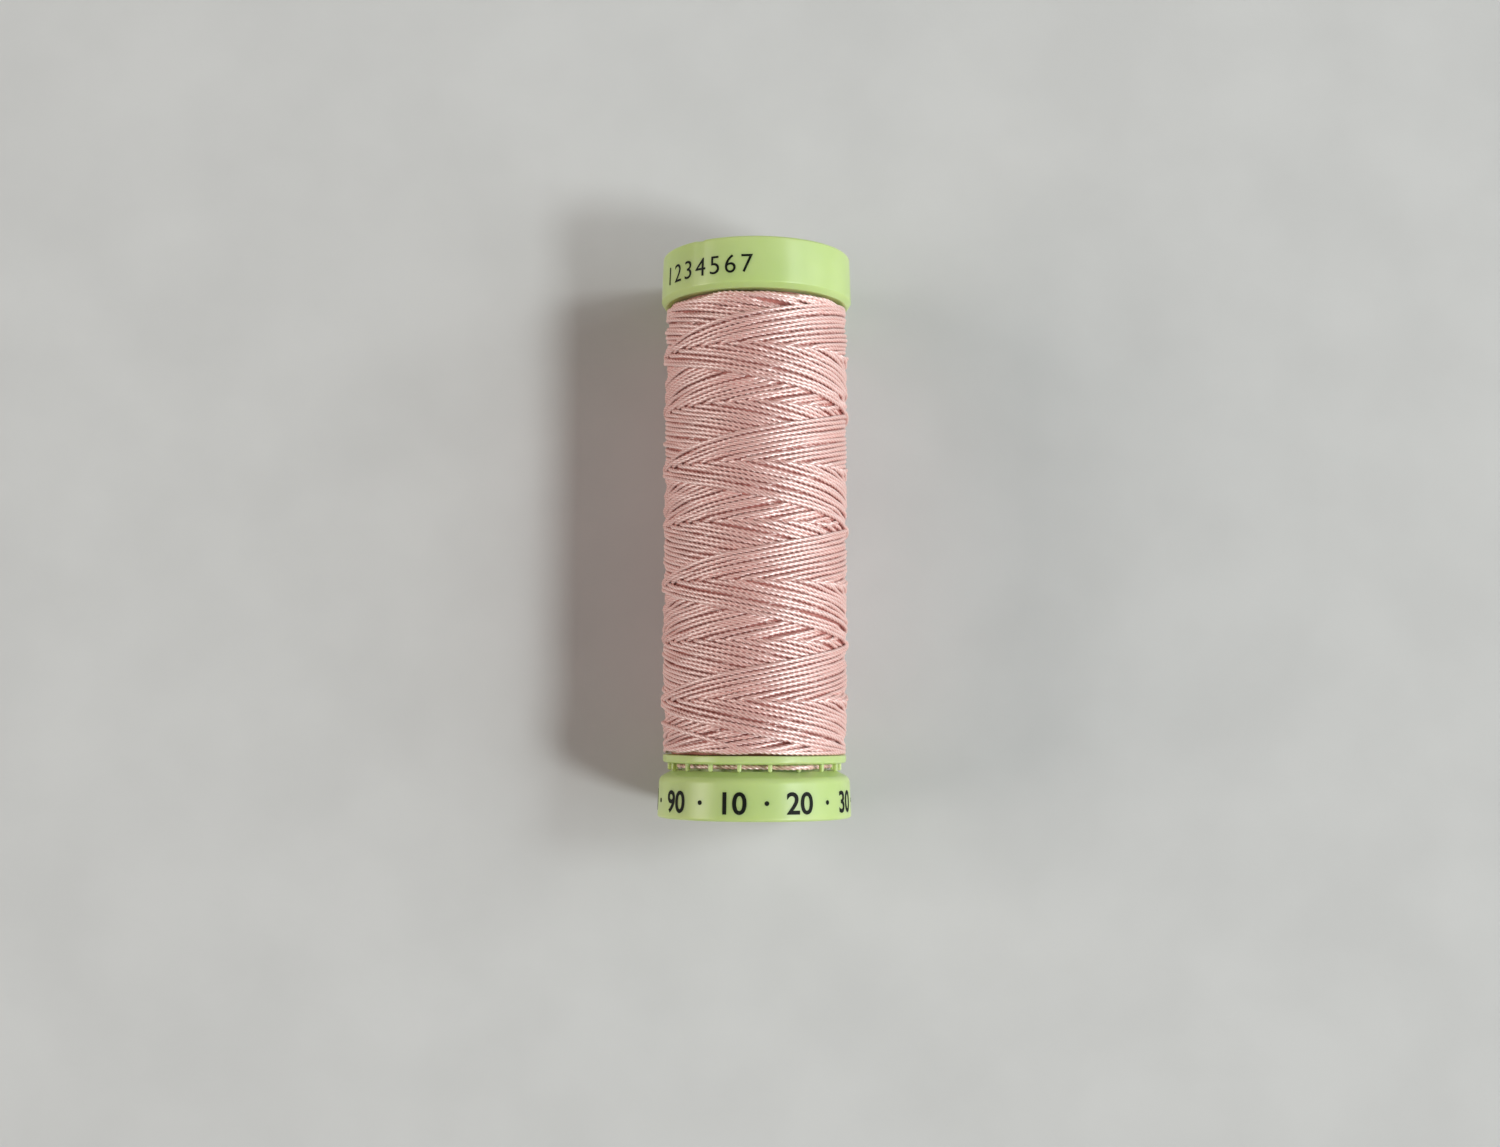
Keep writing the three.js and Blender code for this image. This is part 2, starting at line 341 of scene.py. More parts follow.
top_profile = filleted([
    (BORE, TOP_WEB_UNDER, 0.1),
    (PLUG_INNER, TOP_WEB_UNDER, 0.1),
    (PLUG_INNER, PLUG_END, 0.15),
    (PLUG_OUTER, PLUG_END, 0.15),
    (PLUG_OUTER, TOP_WEB_UNDER, 0.02),
    (TOP_INSIDE, TOP_WEB_UNDER, 0.2),
    (TOP_INSIDE, TOP_RIM, 0.05),
    (CAP_RADIUS - TOP_BEVEL_SET, TOP_RIM, 0.12),
    (CAP_RADIUS, TOP_RIM + TOP_BEVEL, 0.2),
    (CAP_RADIUS - DRAFT, LENGTH, 0.3),
    (TOP_RECESS_RADIUS, LENGTH, 0.1),
    (TOP_RECESS_RADIUS, LENGTH - RECESS, 0.08),
    (BORE, LENGTH - RECESS, 0.1),
])
top_cap = turned("top_cap_moulding", top_profile, top_marks)
print("top cap", len(top_cap.data.polygons), "faces")

# %% [markdown]
# ## The bobbin
#
# The bobbin is one moulding: a tube, a thin flange that thins out towards its rim, a hub that is the floor
# of the lock groove, and a sleeve inside the base cap. The upper flange hides in the top cap.

# %% Bobbin
TUBE, TUBE_BORE = 6.5, 5.5
FLANGE_RADIUS = 9.22
FLANGE_TOP, FLANGE_UNDER, FLANGE_RIM = 6.25, 5.4, 0.72
FLANGE_TAPER = 8.75
HUB = 7.3
SLEEVE_BORE, SLEEVE_END = 6.1, 1.3
BEAD, BEAD_TOP = 7.95, 1.9
UPPER_FLANGE, UPPER_FLANGE_THICK = 8.3, 0.9


def flange_marks(radius, angle, height):
    """The thin rim of the lower flange warps down a little in a few places."""
    rim = np.clip((radius - 8.4) / 0.8, 0, 1)
    lift = rim * (0.03 * np.sin(2 * angle + 0.4) + 0.015 * np.sin(5 * angle)) * (height < 7)
    return radius, height + np.minimum(lift, 0.0)


core_profile = filleted([
    (SLEEVE_BORE, SLEEVE_END, 0.1),
    (BEAD, SLEEVE_END, 0.25),
    (BEAD, BEAD_TOP, 0.1),
    (HUB, BEAD_TOP, 0.05),
    (HUB, FLANGE_UNDER, 0.25),
    (FLANGE_TAPER, FLANGE_UNDER, 0.15),
    (FLANGE_RADIUS, FLANGE_TOP - FLANGE_RIM, 0.25),
    (FLANGE_RADIUS, FLANGE_TOP, 0.14),
    (TUBE, FLANGE_TOP, 0.05),
    (TUBE, TOP_RIM, 0.05),
    (UPPER_FLANGE, TOP_RIM, 0.1),
    (UPPER_FLANGE, TOP_RIM + UPPER_FLANGE_THICK, 0.1),
    (TUBE, TOP_RIM + UPPER_FLANGE_THICK, 0.05),
    (TUBE, TOP_WEB_UNDER, 0.1),
    (TUBE_BORE, TOP_WEB_UNDER, 0.1),
    (TUBE_BORE, FLANGE_UNDER, 0.3),
    (SLEEVE_BORE, FLANGE_UNDER - (SLEEVE_BORE - TUBE_BORE), 0.3),
])
bobbin = turned("bobbin_moulding", core_profile, flange_marks)
print("bobbin", len(bobbin.data.polygons), "faces")

# %% [markdown]
# Eighteen small teeth hang from the flange and close the groove over the thread's end. One tooth is a
# rounded bar that flares into the flange at its root. Its section is a rounded rectangle at every height,
# so a tooth is a grid too, and the ring of teeth is the same grid turned eighteen times.

# %% Lock teeth
TEETH = 18
TOOTH_INNER, TOOTH_OUTER = 8.3, 8.75
TOOTH_TIP, TOOTH_ROOT = 4.68, 5.75
TOOTH_SIDES, TOOTH_ROWS = 20, 14
TOOTH_WIDTH, TOOTH_TAPER = 0.36, 0.14
FLARE, FLARE_FROM, FLARE_REACH = 0.32, 0.55, 0.45
TIP_ROUND = 0.16
SQUARENESS = 0.62


def lock_teeth():
    """A tooth is a stack of superellipses, and the ring is that tooth turned eighteen times. At a share s
    from tip to root, the width is 0.36 + 0.14 s, with 0.32 ((s - 0.55) / 0.45)^2 more past s = 0.55."""
    s = np.linspace(0, 1, TOOTH_ROWS)[:, None]
    round_tip = np.sqrt(np.clip(1 - (1 - np.clip(s / TIP_ROUND, 0, 1)) ** 2, 0.0, 1))
    width = TOOTH_WIDTH + TOOTH_TAPER * s + FLARE * np.clip((s - FLARE_FROM) / FLARE_REACH, 0, 1) ** 2
    half_width = width / 2 * (0.35 + 0.65 * round_tip)
    half_depth = (TOOTH_OUTER - TOOTH_INNER) / 2 * (0.55 + 0.45 * round_tip)
    turn = np.linspace(0, TURN, TOOTH_SIDES, endpoint=False)[None, :]
    side = np.sign(np.cos(turn)) * np.abs(np.cos(turn)) ** SQUARENESS * half_width
    out = np.sign(np.sin(turn)) * np.abs(np.sin(turn)) ** SQUARENESS * half_depth
    radius = (TOOTH_INNER + TOOTH_OUTER) / 2 + out
    height = TOOTH_TIP + (TOOTH_ROOT - TOOTH_TIP) * s + 0 * turn
    angles = [k * TURN / TEETH - side / radius for k in range(TEETH)]
    points = [on_spool(radius, angle, height).reshape(-1, 3) for angle in angles]
    faces = grid_faces(TOOTH_ROWS, TOOTH_SIDES, capped=True)
    quads = [faces + k * TOOTH_ROWS * TOOTH_SIDES for k in range(TEETH)]
    mesh = mesh_from_arrays("lock_teeth", np.concatenate(points), np.concatenate(quads))
    return smooth_piece("lock_teeth", mesh)


teeth = lock_teeth()
print("teeth", len(teeth.data.polygons), "faces")

# %% [markdown]
# ## Winding the thread
#
# A machine turns the spool and leads the thread up and down. The thread climbs 11.6 mm in each turn, so
# going up it lies one way and coming down the other, and each new pass lies one thread's width beside the
# last of its kind. Where an up pass and a down pass are equally new, the pattern changes over, and that is
# what draws the chevrons.
#
# To get the same relief, the passes are laid here in the order in which they were wound. After 26 double
# passes the threads lie side by side all over the spool, so older thread can't be seen and isn't drawn.

# %% The machine's path
THREAD = 0.43
CLIMB = 11.6
SPACING = 0.455
PASSES = 52
TURNS_PER_PAIR = 8 - SPACING / CLIMB
LAST_ANGLE = math.radians(14)
LOW = FLANGE_TOP + THREAD / 2 + 0.02
HIGH = TOP_RIM - THREAD / 2 - 0.02
MIDDLE = (FLANGE_TOP + TOP_RIM) / 2
STEP = 0.1
MEAN_RADIUS = 9.3
SOFT_TURN = 0.55
TURN_SPREAD = 0.6
TURN_OVER = 0.25
TURN_ROUNDING = 6
GOLDEN = (math.sqrt(5) - 1) / 2
PASS_SHIFT, SHIFT_OVER = 0.055, 20
WANDER, WANDER_OVER = 0.035, 14
TREMBLE, TREMBLE_OVER = 0.014, 3


def soft_limit(value, limit, softness):
    """The smaller of value and limit, rounded off where they meet. With a softness w it is
    value - w log(1 + e^((value - limit) / w))."""
    return value - softness * np.logaddexp(0, (value - limit) / softness)


def blurred(values, width):
    """Values along the thread, averaged with a smooth bell of a given full width in mm."""
    half = max(int(width / STEP / 2), 1)
    bell = np.hanning(2 * half + 3)[1:-1]
    return np.convolve(np.pad(values, half, mode="edge"), bell / bell.sum(), mode="valid")


def drift(count, size, wave, seed):
    """Smooth random wander along the thread: white noise under a bell of that many millimetres."""
    noise = np.random.default_rng(seed).normal(size=count)
    smooth = blurred(noise, wave)
    return size * smooth / smooth.std()


LAST_TURNS = np.array([0, 0.2, 0.42, 0.54, 0.6, 0.67, 0.72, 0.76, 0.81, 0.88, 1.12])
LAST_HEIGHTS = np.array([LOW, 6.9, 8.8, 9.5, 9.2, 8.5, 7.7, 7.0, LOW + 0.1, LOW, LOW])


def machine_path():
    """Angle and height of the thread, oldest first. Counted back from the machine's end in turns, the height
    is a triangle wave of period TURNS_PER_PAIR and slope CLIMB, softly limited at both flanges. Pass 0 is the
    last turn, led down to the flange by hand."""
    turns = PASSES * TURNS_PER_PAIR / 2
    count = int((turns + LAST_TURNS[-1]) * TURN * MEAN_RADIUS / STEP)
    back = np.linspace(turns, -LAST_TURNS[-1], count)
    half_pass = np.clip(np.floor(back / (TURNS_PER_PAIR / 2)).astype(int), -1, PASSES - 1) + 1
    phase = back % TURNS_PER_PAIR
    wave = TURNS_PER_PAIR / 2 - np.abs(phase - TURNS_PER_PAIR / 2)
    height = MIDDLE - CLIMB * TURNS_PER_PAIR / 4 + CLIMB * wave
    near_low = np.floor(back / TURNS_PER_PAIR + 0.5).astype(int)
    near_high = np.maximum(np.floor(back / TURNS_PER_PAIR).astype(int), 0)
    short_high = TURN_OVER - TURN_SPREAD * (near_high * GOLDEN % 1)
    short_low = TURN_OVER - TURN_SPREAD * ((near_low * GOLDEN + 0.3) % 1)
    height = soft_limit(height, HIGH + short_high, SOFT_TURN)
    height = -soft_limit(-height, -LOW + short_low, SOFT_TURN)
    height = np.where(back < 0, np.interp(-back, LAST_TURNS, LAST_HEIGHTS), height)
    height = blurred(height, TURN_ROUNDING)
    shift = blurred(rng.normal(0, PASS_SHIFT, PASSES + 1)[half_pass], SHIFT_OVER)
    height = height + shift + drift(count, WANDER, WANDER_OVER, 11) + drift(count, TREMBLE, TREMBLE_OVER, 12)
    return LAST_ANGLE + back * TURN, np.clip(height, LOW, HIGH), half_pass


path_angle, path_height, path_pass = machine_path()
print(f"{len(path_angle) * STEP / 1000:.1f} m of thread in {PASSES} passes")

# %% [markdown]
# A height map of the spool's surface says how far out the thread already reaches. A thread of radius r, at
# a sideways distance x from its middle, reaches sqrt(r^2 - x^2) further out, so its middle has to be that
# much outside whatever is there. The largest of these over the thread's middle is the contact height; over
# its edges it would only slide off its neighbour. Between two contacts the taut thread runs straight, which
# on a round spool is a parabola in height, and it also bites a little into what it crosses.
#
# The package is springy. Where many crossings pile up, it is pressed in, so after each pass the broad bumps
# of the map sink by a share, and the threads laid before sink with them.

# %% Lay the passes
CELL = 0.1
MAP_ROWS = 560
MAP_MARGIN = 3
MAP_COLUMNS = int((TOP_RIM - FLANGE_TOP) / CELL) + 2 * MAP_MARGIN
FOOT = np.arange(-2, 3)
TAUT = 18
GRIP = 0.13
BITE = 0.5
YIELD = 0.35
YIELD_WIDTH = 0.9
LAST_YIELD = 1.0
SPAN_SMOOTH, CONTACT_SMOOTH, LEVEL_SMOOTH = 1.0, 1.6, 0.8


def cells(angle, height):
    """The row and column of the height map at places on the spool."""
    rows = (angle / TURN * MAP_ROWS).astype(int) % MAP_ROWS
    return rows, ((height - FLANGE_TOP) / CELL).astype(int) + MAP_MARGIN


def broad_bumps(ridge, width):
    """The map less its mean, blurred by a Gaussian bell in both directions through its Fourier transform."""
    mirrored = np.concatenate([ridge, ridge[:, ::-1]], axis=1) - ridge.mean()
    around = np.fft.fftfreq(mirrored.shape[0], CELL)[:, None]
    sideways = np.fft.rfftfreq(mirrored.shape[1], CELL)[None, :]
    bell = np.exp(-2 * (math.pi * width) ** 2 * (around ** 2 + sideways ** 2))
    return np.fft.irfft2(np.fft.rfft2(mirrored) * bell, s=mirrored.shape)[:, :ridge.shape[1]]


def lay_passes(angle, height, passes):
    """The thread's middle and the final height map, both above the package, worked out pass after pass."""
    ridge = np.zeros((MAP_ROWS, MAP_COLUMNS))
    sunk = np.zeros_like(ridge)
    level = np.zeros(len(angle))
    radius = THREAD / 2
    arc = (np.arange(-TAUT, TAUT + 1) * STEP) ** 2 / (2 * MEAN_RADIUS)
    rows, columns = cells(angle, height)
    for number in range(passes.max(), -1, -1):
        run = np.flatnonzero(passes == number)
        row = rows[run][:, None]
        column = columns[run][:, None] + FOOT
        sideways = (column - MAP_MARGIN + 0.5) * CELL + FLANGE_TOP - height[run][:, None]
        dome = np.sqrt(np.clip(radius ** 2 - sideways ** 2, 0, None))
        under = np.abs(sideways) < GRIP
        contact = np.where(under, ridge[row, column] + dome, -1).max(axis=1)
        padded = np.pad(contact, TAUT, mode="edge")
        windows = np.lib.stride_tricks.sliding_window_view(padded, 2 * TAUT + 1)
        spanned = blurred((windows - arc).max(axis=1), SPAN_SMOOTH)
        held = (1 - BITE) * spanned + BITE * blurred(contact, CONTACT_SMOOTH)
        level[run] = held - sunk[rows[run], columns[run]]
        np.maximum.at(ridge, (np.broadcast_to(row, column.shape), column), held[:, None] + dome)
        press = -YIELD * broad_bumps(ridge, YIELD_WIDTH)
        ridge += press
        sunk += press
    press = -LAST_YIELD * broad_bumps(ridge, YIELD_WIDTH)
    print("relief of the winding, mm, 1% to 99%:", np.percentile(ridge + press, [1, 25, 75, 99]).round(2))
    return level + (sunk + press)[rows, columns], ridge + press


level, relief = lay_passes(path_angle, path_height, path_pass)

# %% [markdown]
# The winding is a little slimmer at its ends, and its highest crossings are softly held down to the size of
# the real one. That gives the radius of the package under the drawn passes.

# %% Size of the winding
WINDING_RADIUS = 9.52
END_RADIUS = 9.2
END_REACH = 2.4
HIGH_SHARE, HIGH_SOFTNESS = 96, 0.05
LOBE, VALLEY = 0.243, 0.18


def from_end(height):
    """How far a height is from the nearer end of the winding."""
    return np.minimum(height - FLANGE_TOP, TOP_RIM - height)


def end_fall(height):
    """How much slimmer the winding is at a height: a bell over each end."""
    return (WINDING_RADIUS - END_RADIUS) * np.exp(-(from_end(height) / END_REACH) ** 2)


level = blurred(level, LEVEL_SMOOTH)
level = soft_limit(level, np.percentile(level, HIGH_SHARE) - end_fall(path_height), HIGH_SOFTNESS)
PACKAGE = WINDING_RADIUS - LOBE - level.max()
print(f"winding {level.max() + LOBE:.2f} mm deep over a package of radius {PACKAGE:.2f} mm")

# %% [markdown]
# ## The yarn
#
# The thread is three plies twisted together, one full twist in 1.8 mm, turning like the middle stroke of a
# Z. Its section has three lobes, and carrying that section along the path while it turns gives every ply
# its own ridge.

# %% Yarn mesh
PLIES = 3
YARN_SIDES = 6
TWIST = 1.8
STRIDE = 2


def yarn(name, middle, start_length, sides=YARN_SIDES):
    """Carries a twisted lobed section along points (n, 3) in metres. Across the path it is set out on the
    direction away from the spool's axis and the one square to both, turned by the twist."""
    ahead = np.gradient(middle, axis=0)
    ahead /= np.linalg.norm(ahead, axis=1, keepdims=True)
    outward = middle - np.array([0, 0, AXIS_Z])
    outward[:, 1] = 0
    outward -= (outward * ahead).sum(axis=1, keepdims=True) * ahead
    outward /= np.linalg.norm(outward, axis=1, keepdims=True)
    side = np.cross(ahead, outward)
    steps = np.linalg.norm(np.diff(middle, axis=0), axis=1) / MM
    length = start_length + np.concatenate([[0], np.cumsum(steps)])
    corner = np.arange(sides) * TURN / sides
    turn = corner[None, :] + TURN * length[:, None] / TWIST
    reach = (LOBE + VALLEY) / 2 + (LOBE - VALLEY) / 2 * np.cos(PLIES * corner)
    reach = reach[None, :] * MM
    points = (middle[:, None, :] + (reach * np.cos(turn))[..., None] * outward[:, None, :]
              + (reach * np.sin(turn))[..., None] * side[:, None, :])
    return surface(name, points, capped=True, uv=length, sharp=None), length[-1]


PASSES_PER_PIECE = 10
winding_pieces = []
keep = np.arange(0, len(path_angle), STRIDE)
middles = on_spool(PACKAGE + level[keep], path_angle[keep], path_height[keep])
owner = np.minimum(path_pass[keep] // PASSES_PER_PIECE, PASSES // PASSES_PER_PIECE - 1)
so_far = 0.0
for number in range(owner.max(), -1, -1):
    run = np.flatnonzero(owner == number)
    run = np.append(run, min(run[-1] + 1, len(keep) - 1)) if number else run
    piece, so_far = yarn(f"thread_layer_{number + 1}", middles[run], so_far)
    winding_pieces.append(piece)
    print(piece.name, len(piece.data.polygons) * 2, "triangles")

# %% [markdown]
# Under the drawn passes lies the older thread. It only shows as dark pink in the deepest gaps, so it is one
# plain package, its colour painted darker than the thread's: painted shade for those gaps. Its surface
# follows the height map of the winding, blurred and a thread's width further in, with a rib for each thread.

# %% Package
UNDER_CREST = 0.36
RELIEF_BLUR = 0.3
RIB = 0.09
END_GAP, END_GAP_REACH = 0.1, 0.3
PACKAGE_STEP = 0.1
PACKAGE_SEGMENTS = 200


def package_relief(radius, angle, height):
    """The outside follows the blurred relief, less the fall at the ends, with ribs along the thread."""
    inner = relief.mean() + broad_bumps(relief, RELIEF_BLUR) - UNDER_CREST
    inner = np.minimum(inner, level.max() + LOBE - THREAD - 0.05)
    falls = end_fall(height) + END_GAP * np.exp(-from_end(height) / END_GAP_REACH)
    ribs = RIB * np.abs(np.sin(TURN / 2 * height / SPACING + 2 * angle)) - RIB
    outside = radius > PACKAGE - 0.1
    return radius + outside * (inner[cells(angle, height)] - falls + ribs), height


package_heights = np.arange(FLANGE_TOP + 0.05, TOP_RIM - 0.04, PACKAGE_STEP)
package_profile = np.concatenate([
    [(TUBE + 0.02, FLANGE_TOP + 0.02), (PACKAGE - 0.3, FLANGE_TOP + 0.02)],
    np.stack([package_heights * 0 + PACKAGE, package_heights], axis=-1),
    [(PACKAGE - 0.3, TOP_RIM - 0.02), (TUBE + 0.02, TOP_RIM - 0.02)],
])
package = turned("thread_inner_layers", package_profile, package_relief, PACKAGE_SEGMENTS)
print("package", len(package.data.polygons) * 2, "triangles")

# %% [markdown]
# ## The thread's end
#
# The last strand leaves the winding along the flange, slips over its rim on the right and into the groove,
# and goes round behind the teeth. At the front it comes out between two of them, passes over one and slips
# in again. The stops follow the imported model's.

# %% Thread tail
CLEAR = THREAD / 2 + 0.1
OVER = FLANGE_TOP + CLEAR - 0.04
GROOVE = (SHOULDER + FLANGE_UNDER) / 2
RIM = FLANGE_RADIUS + CLEAR
OUTSIDE = TOOTH_OUTER + THREAD / 2 + 0.02
BEHIND = HUB + THREAD / 2 + 0.05
BETWEEN = (OUTSIDE + BEHIND) / 2
last_radius = PACKAGE + level[-1]
last_degrees = math.degrees(path_angle[-1]) + 360
TAIL_STOPS = np.array([
    (last_degrees, last_radius, path_height[-1]),
    (last_degrees - 3, last_radius, path_height[-1]),
    (-38, (last_radius + RIM) / 2, OVER),
    (-44, 9.3, OVER),
    (-49, RIM - 0.1, OVER - 0.1),
    (-53, RIM, FLANGE_TOP - FLANGE_RIM / 2),
    (-57, RIM - 0.05, FLANGE_UNDER),
    (-64, OUTSIDE, GROOVE),
    (-70, BETWEEN, GROOVE + 0.04),
    (-78, BEHIND, GROOVE + 0.08),
    (-90, BEHIND, GROOVE + 0.12),
    (-130, BEHIND, GROOVE + 0.14),
    (-180, BEHIND, GROOVE + 0.15),
    (-225, BEHIND, GROOVE + 0.15),
    (-270, BEHIND, GROOVE + 0.15),
    (-281, BEHIND, GROOVE + 0.14),
    (-289, BETWEEN, GROOVE + 0.13),
    (-296, OUTSIDE, GROOVE + 0.13),
    (-304, OUTSIDE, GROOVE + 0.13),
    (-311, BETWEEN, GROOVE + 0.12),
    (-319, BEHIND, GROOVE + 0.12),
    (-345, BEHIND, GROOVE + 0.15),
    (-384, BEHIND, GROOVE + 0.1),
])
TAIL_STEP = 0.12
TAIL_SMOOTH = 9
TAIL_SIDES = 12


def smooth_route(stops, spacing):
    """A smooth curve through stops (degrees, radius, height): each runs as a monotone cubic of the distance
    travelled, so nothing overshoots between two stops. A short bell then rounds the joints."""
    metric = np.stack([np.radians(stops[:, 0]) * HUB, stops[:, 1], stops[:, 2]], axis=-1)
    travelled = np.concatenate([[0], np.cumsum(np.linalg.norm(np.diff(metric, axis=0), axis=1))])
    s = np.arange(0, travelled[-1], spacing)
    slopes = np.diff(metric, axis=0) / np.diff(travelled)[:, None]
    product = slopes[1:] * slopes[:-1]
    tangent = np.zeros_like(metric)
    tangent[1:-1] = np.where(product > 0, 2 * product / (slopes[1:] + slopes[:-1] + 1e-12), 0)
    tangent[0], tangent[-1] = slopes[0], slopes[-1]
    k = np.clip(np.searchsorted(travelled, s, side="right") - 1, 0, len(stops) - 2)
    gap = np.diff(travelled)[k][:, None]
    t = (s[:, None] - travelled[k][:, None]) / gap
    route = ((2 * t ** 3 - 3 * t ** 2 + 1) * metric[k] + (t ** 3 - 2 * t ** 2 + t) * gap * tangent[k]
             + (3 * t ** 2 - 2 * t ** 3) * metric[k + 1] + (t ** 3 - t ** 2) * gap * tangent[k + 1])
    bell = np.hanning(TAIL_SMOOTH)
    bell /= bell.sum()
    half = TAIL_SMOOTH // 2
    padded = np.pad(route, ((half, half), (0, 0)), mode="reflect", reflect_type="odd")
    route = np.stack([np.convolve(padded[:, c], bell, mode="valid") for c in range(3)], axis=-1)
    return route[:, 0] / HUB, route[:, 1], route[:, 2]


tail_angle, tail_radius, tail_height = smooth_route(TAIL_STOPS, TAIL_STEP)
tail, whole = yarn("thread_end", on_spool(tail_radius, tail_angle, tail_height), so_far, TAIL_SIDES)
print(f"thread end {whole - so_far:.0f} mm long")

# %% [markdown]
# ## Printed numbers
#
# The real caps carry printing. Here it is plain numbers, like the scale on a dial: bold ones with dots all
# round the base cap, and thin ones on the left of the top cap. Each is set as text, made a mesh, cut into
# narrow strips so that it can bend, and wrapped round the cap 0.016 mm proud, as ink is.

# %% Ink
INK = 0.016
INK_ROOT = -0.03
STRIP = 0.22


def cut_mark(text, size, weight):
    """A mark set as text and made a flat plate, cut across its width into strips narrow enough to bend."""
    curve = bpy.data.curves.new("mark", "FONT")
    curve.body = text
    curve.size = size
    curve.align_x = "CENTER"
    curve.offset = weight
    curve.extrude = 0.5
    curve.resolution_u = 6
    mark = placed("mark", curve)
    shape = bpy.data.meshes.new_from_object(mark.evaluated_get(bpy.context.evaluated_depsgraph_get()))
    bpy.data.objects.remove(mark)
    bpy.data.curves.remove(curve)
    flat = bmesh.new()
    flat.from_mesh(shape)
    bmesh.ops.remove_doubles(flat, verts=flat.verts, dist=1e-4)
    low = min(v.co.x for v in flat.verts)
    high = max(v.co.x for v in flat.verts)
    for cut in np.arange(low + STRIP, high, STRIP):
        everything = flat.verts[:] + flat.edges[:] + flat.faces[:]
        bmesh.ops.bisect_plane(flat, geom=everything, dist=1e-5, plane_co=(cut, 0, 0), plane_no=(1, 0, 0))
    bmesh.ops.triangulate(flat, faces=flat.faces)
    flat.to_mesh(shape)
    flat.free()
    return shape


def printed_row(name, marks, radius_at, height, size, weight):
    """marks holds (text, middle angle in degrees). x becomes the angle x / radius, and y the height."""
    joined = bmesh.new()
    for text, degrees in marks:
        shape = cut_mark(text, size, weight)
        places = np.empty(len(shape.vertices) * 3)
        shape.vertices.foreach_get("co", places)
        places = places.reshape(-1, 3)
        along_axis = height + places[:, 1]
        base = radius_at(along_axis)
        proud = np.where(places[:, 2] > 0, INK, INK_ROOT)
        bent = on_spool(base + proud, math.radians(degrees) - places[:, 0] / base, along_axis)
        shape.vertices.foreach_set("co", bent.astype(np.float32).ravel())
        joined.from_mesh(shape)
        bpy.data.meshes.remove(shape)
    bmesh.ops.recalc_face_normals(joined, faces=joined.faces)
    mesh = bpy.data.meshes.new(name)
    joined.to_mesh(mesh)
    joined.free()
    return placed(name, mesh)


def side_radius(profile, lowest):
    """A cap's outside radius as a function of height, read off the part of its profile above lowest."""
    side = profile[(profile[:, 0] > 9.5) & (profile[:, 1] > lowest)]
    order = np.argsort(side[:, 1])
    return lambda height: np.interp(height, side[order, 1], side[order, 0])


base_marks = []
for k in range(9):
    base_marks.append((str(10 * (k + 1)), 103 - 40 * k))
    base_marks.append(("·", 83 - 40 * k))
top_digits = [(str(k), 163.8 - 9.7 * k) for k in range(1, 8)]
base_side, top_side = side_radius(snap_profile, 0.3), side_radius(top_profile, TOP_RIM + 0.3)
base_print = printed_row("base_numbers", base_marks, base_side, height=0.75, size=2.95, weight=0.05)
top_print = printed_row("top_numbers", top_digits, top_side, height=53.3, size=2.65, weight=-0.012)
print("ink", len(base_print.data.polygons) + len(top_print.data.polygons), "faces")

# %% [markdown]
# ## Paper discs
#
# Each end has a paper disc in its recess, with a hole for the spool pin. The photograph hides them. They
# carry only a ring and short marks like a dial's, painted by the material from the distance and angle round
# the axis.

# %% Paper discs
LABEL = 0.2
LABEL_GAP = 0.15


def paper_disc(name, outer, floor, top):
    """A flat ring round the pin's hole, with its upper edges softened."""
    hole = BORE + LABEL_GAP
    disc = [(hole, floor, 0.02), (outer, floor, 0.02), (outer, top, 0.06), (hole, top, 0.06)]
    return turned(name, filleted(disc))


top_label = paper_disc("top_disc", TOP_RECESS_RADIUS - LABEL_GAP, LENGTH - RECESS, LENGTH - RECESS + LABEL)
base_label = paper_disc("base_disc", SNAP_RECESS_RADIUS - LABEL_GAP, RECESS - LABEL, RECESS)

# %% [markdown]
# ## Materials
#
# Each finish is a Principled shader fed by small procedural textures. First a few short helpers that add
# and link nodes, then one node group that several finishes share: a fine grain, which gives a bump height
# and a colour mask.

# %% Node helpers


def new_material(name):
    material = bpy.data.materials.new(name)
    material.use_nodes = True
    tree = material.node_tree
    tree.nodes.clear()
    output = tree.nodes.new("ShaderNodeOutputMaterial")
    shader = tree.nodes.new("ShaderNodeBsdfPrincipled")
    tree.links.new(shader.outputs["BSDF"], output.inputs["Surface"])
    return material, tree, shader


def feed(tree, node, inputs):
    """Fills a node's inputs: a socket is linked, and a plain value is set on the input itself."""
    for key, value in inputs.items():
        if isinstance(value, bpy.types.NodeSocket):
            tree.links.new(value, node.inputs[key])
        else:
            node.inputs[key].default_value = value


def add(tree, kind, inputs=None, **settings):
    """A new node with its settings and inputs."""
    node = tree.nodes.new(kind)
    for key, value in settings.items():
        setattr(node, key, value)
    feed(tree, node, inputs or {})
    return node


def calculate(tree, operation, *values):
    """The result of a Math node, from sockets and plain values."""
    return add(tree, "ShaderNodeMath", dict(enumerate(values)), operation=operation).outputs[0]


def noise(tree, place, scale, detail, roughness=0.5):
    inputs = {"Vector": place, "Scale": scale, "Detail": detail, "Roughness": roughness}
    return add(tree, "ShaderNodeTexNoise", inputs).outputs["Fac"]


def bumps(tree, height, strength, distance):
    """The normal of a surface with a fine relief. A height of 1 stands for that distance in metres."""
    inputs = {"Height": height, "Strength": strength, "Distance": distance}
    return add(tree, "ShaderNodeBump", inputs).outputs[0]


def ramp(tree, factor, stops):
    """A colour ramp from (position, colour) pairs."""
    node = add(tree, "ShaderNodeValToRGB", {"Fac": factor})
    elements = node.color_ramp.elements
    while len(elements) < len(stops):
        elements.new(0.5)
    for element, (position, colour) in zip(elements, stops):
        element.position = position
        element.color = (*colour, 1)
    return node.outputs["Color"]


